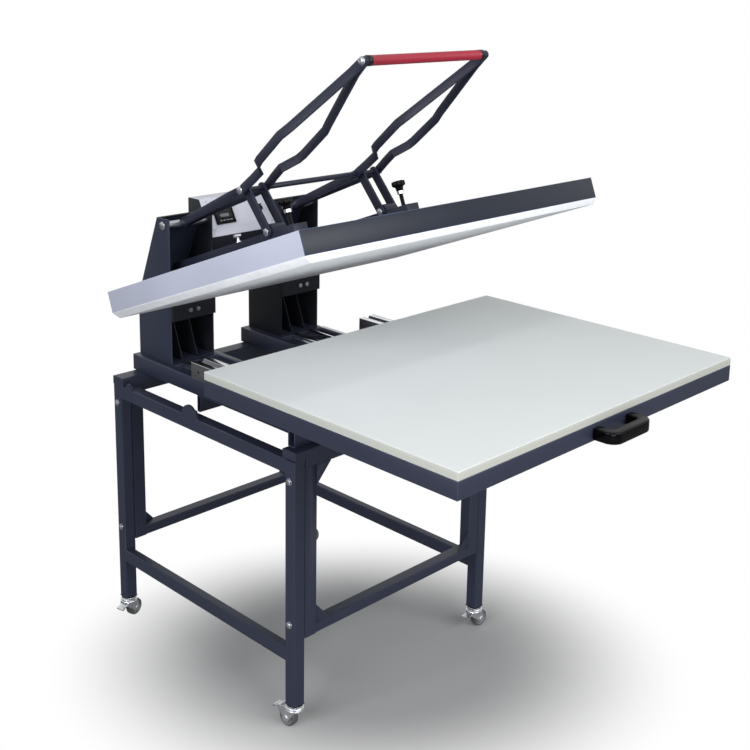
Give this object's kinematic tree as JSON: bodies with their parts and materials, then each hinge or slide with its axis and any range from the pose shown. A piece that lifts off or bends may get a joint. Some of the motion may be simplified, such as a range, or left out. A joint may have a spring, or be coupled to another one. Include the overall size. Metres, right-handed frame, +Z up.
{
  "type": "manual heat press",
  "caption": "Floor-standing manual heat press: tube stand on casters, two pillars, lever-closed tilting upper platen and a pull-out lower drawer with a flat pad.",
  "frame": {"origin": "middle of the underside of the whole machine's box, on the floor, with the drawer pulled out and the head lifted", "axes": "+Z up; -Y is the front, where the drawer comes out and the grip is held; +X to the right seen from the front"},
  "size_m": [1.056, 1.51, 1.7104],
  "materials": {
    "frame": "satin powder coat",
    "dark_frame": "satin powder coat",
    "cover_silver": "satin",
    "cover_navy": "satin",
    "box_white": "satin",
    "steel": "polished",
    "zinc": "zinc plated",
    "alu": "satin",
    "platen": "satin",
    "wool": "matte",
    "black_plastic": "gloss",
    "dark_plastic": "matte",
    "nylon": "matte",
    "wheel": "matte",
    "red_grip": "matte foam",
    "pad_foam": "matte silicone sponge"
  },
  "bodies": {
    "stand": {"side_frame_left": "frame", "side_frame_right": "frame", "front_frame": "frame", "rear_frame": "frame", "frame_bolts": "zinc", "leg_plugs": "dark_plastic", "beam_left": "dark_frame", "beam_right": "dark_frame", "front_cross_member": "frame", "mid_cross_member": "dark_frame", "guide_rails": "steel", "ledge_strip": "zinc", "runner_pads": "nylon", "pillar_left": "dark_frame", "pillar_right": "dark_frame", "pillar_ribs": "dark_frame", "pillar_braces": "dark_frame", "brace_bolts": "zinc", "lever_pins": "zinc", "head_pins": "zinc", "control_box": "box_white", "control_caps": "dark_frame", "control_panel": "box_white", "temperature_controller": "black_plastic", "power_inlet": "dark_plastic"},
    "head": {"platen_cover": "cover_silver", "front_cover": "cover_navy", "insulation": "wool", "heat_plate": "platen", "arm_left": "frame", "arm_right": "frame", "link_pins": "zinc", "tee_bolts": "zinc"},
    "lever": {"lever_bars_left": "frame", "lever_bars_right": "frame", "lever_axle": "zinc", "grip_rod": "zinc", "grip_sleeve": "red_grip"},
    "links": {"link_plates": "dark_frame", "link_bolts": "zinc"},
    "drawer": {"drawer_tray": "frame", "pad": "pad_foam", "drawer_runners": "alu", "bearing_blocks": "alu", "drawer_handle": "black_plastic"},
    "knob_left": {"pressure_knob_left": "dark_plastic"},
    "knob_right": {"pressure_knob_right": "dark_plastic"},
    "switch": {"rotary_switch": "black_plastic"},
    "fork_fl": {"caster_fork_fl": "zinc"},
    "wheel_fl": {"caster_wheel_fl": "wheel"},
    "pedal_fl": {"brake_pedal_fl": "zinc"},
    "fork_fr": {"caster_fork_fr": "zinc"},
    "wheel_fr": {"caster_wheel_fr": "wheel"},
    "pedal_fr": {"brake_pedal_fr": "zinc"},
    "fork_rl": {"caster_fork_rl": "zinc"},
    "wheel_rl": {"caster_wheel_rl": "wheel"},
    "pedal_rl": {"brake_pedal_rl": "zinc"},
    "fork_rr": {"caster_fork_rr": "zinc"},
    "wheel_rr": {"caster_wheel_rr": "wheel"},
    "pedal_rr": {"brake_pedal_rr": "zinc"}
  },
  "joints": [
    {"name": "lever_hinge", "type": "hinge", "parent": "stand", "child": "lever", "pos_m": [0, 0.615, 1.204], "axis": [1, 0, 0], "range_deg": [0, 38.3]},
    {"name": "head_hinge", "type": "hinge", "parent": "stand", "child": "head", "pos_m": [0, 0.613, 0.999], "axis": [1, 0, 0], "range_deg": [0, 20.9]},
    {"name": "link_hinge", "type": "hinge", "parent": "lever", "child": "links", "pos_m": [0, 0.30397, 1.34378], "axis": [1, 0, 0], "range_deg": [-73.3, 0]},
    {"name": "drawer_slide", "type": "slide", "parent": "stand", "child": "drawer", "axis": [0, 1, 0], "range_m": [0, 0.378]},
    {"name": "switch_turn", "type": "hinge", "parent": "stand", "child": "switch", "pos_m": [0.073, 0.6255, 1.2092], "axis": [0, -0.8656, 0.5007], "range_deg": [0, 90]},
    {"name": "knob_left_turn", "type": "hinge", "parent": "head", "child": "knob_left", "pos_m": [-0.206, 0.17451, 1.31256], "axis": [0, 0.3567, 0.9342], "continuous": true},
    {"name": "knob_right_turn", "type": "hinge", "parent": "head", "child": "knob_right", "pos_m": [0.206, 0.17451, 1.31256], "axis": [0, 0.3567, 0.9342], "continuous": true},
    {"name": "swivel_fl", "type": "hinge", "parent": "stand", "child": "fork_fl", "pos_m": [-0.354, -0.027, 0.062], "axis": [0, 0, 1], "continuous": true},
    {"name": "wheel_fl_spin", "type": "hinge", "parent": "fork_fl", "child": "wheel_fl", "pos_m": [-0.35574, -0.00708, 0.025], "axis": [-0.9962, -0.0872, 0], "continuous": true},
    {"name": "pedal_fl_press", "type": "hinge", "parent": "fork_fl", "child": "pedal_fl", "pos_m": [-0.3577, 0.01534, 0.0492], "axis": [-0.9962, -0.0872, 0], "range_deg": [0, 12]},
    {"name": "swivel_fr", "type": "hinge", "parent": "stand", "child": "fork_fr", "pos_m": [0.354, -0.027, 0.062], "axis": [0, 0, 1], "continuous": true},
    {"name": "wheel_fr_spin", "type": "hinge", "parent": "fork_fr", "child": "wheel_fr", "pos_m": [0.37397, -0.02805, 0.025], "axis": [0.0523, 0.9986, 0], "continuous": true},
    {"name": "pedal_fr_press", "type": "hinge", "parent": "fork_fr", "child": "pedal_fr", "pos_m": [0.33802, -0.02616, 0.0492], "axis": [0.0523, 0.9986, 0], "range_deg": [-12, 0]},
    {"name": "swivel_rl", "type": "hinge", "parent": "stand", "child": "fork_rl", "pos_m": [-0.354, 0.723, 0.062], "axis": [0, 0, 1], "continuous": true},
    {"name": "wheel_rl_spin", "type": "hinge", "parent": "fork_rl", "child": "wheel_rl", "pos_m": [-0.33468, 0.72818, 0.025], "axis": [-0.2588, 0.9659, 0], "continuous": true},
    {"name": "pedal_rl_press", "type": "hinge", "parent": "fork_rl", "child": "pedal_rl", "pos_m": [-0.36945, 0.71886, 0.0492], "axis": [-0.2588, 0.9659, 0], "range_deg": [-12, 0]},
    {"name": "swivel_rr", "type": "hinge", "parent": "stand", "child": "fork_rr", "pos_m": [0.354, 0.723, 0.062], "axis": [0, 0, 1], "continuous": true},
    {"name": "wheel_rr_spin", "type": "hinge", "parent": "fork_rr", "child": "wheel_rr", "pos_m": [0.36886, 0.70962, 0.025], "axis": [0.6691, 0.7431, 0], "continuous": true},
    {"name": "pedal_rr_press", "type": "hinge", "parent": "fork_rr", "child": "pedal_rr", "pos_m": [0.34211, 0.73371, 0.0492], "axis": [0.6691, 0.7431, 0], "range_deg": [-12, 0]}
  ],
  "couplings": [
    {"joint": "head_hinge", "follows": "lever_hinge", "ratio": 0.5456},
    {"joint": "link_hinge", "follows": "lever_hinge", "ratio": -1.911}
  ]
}
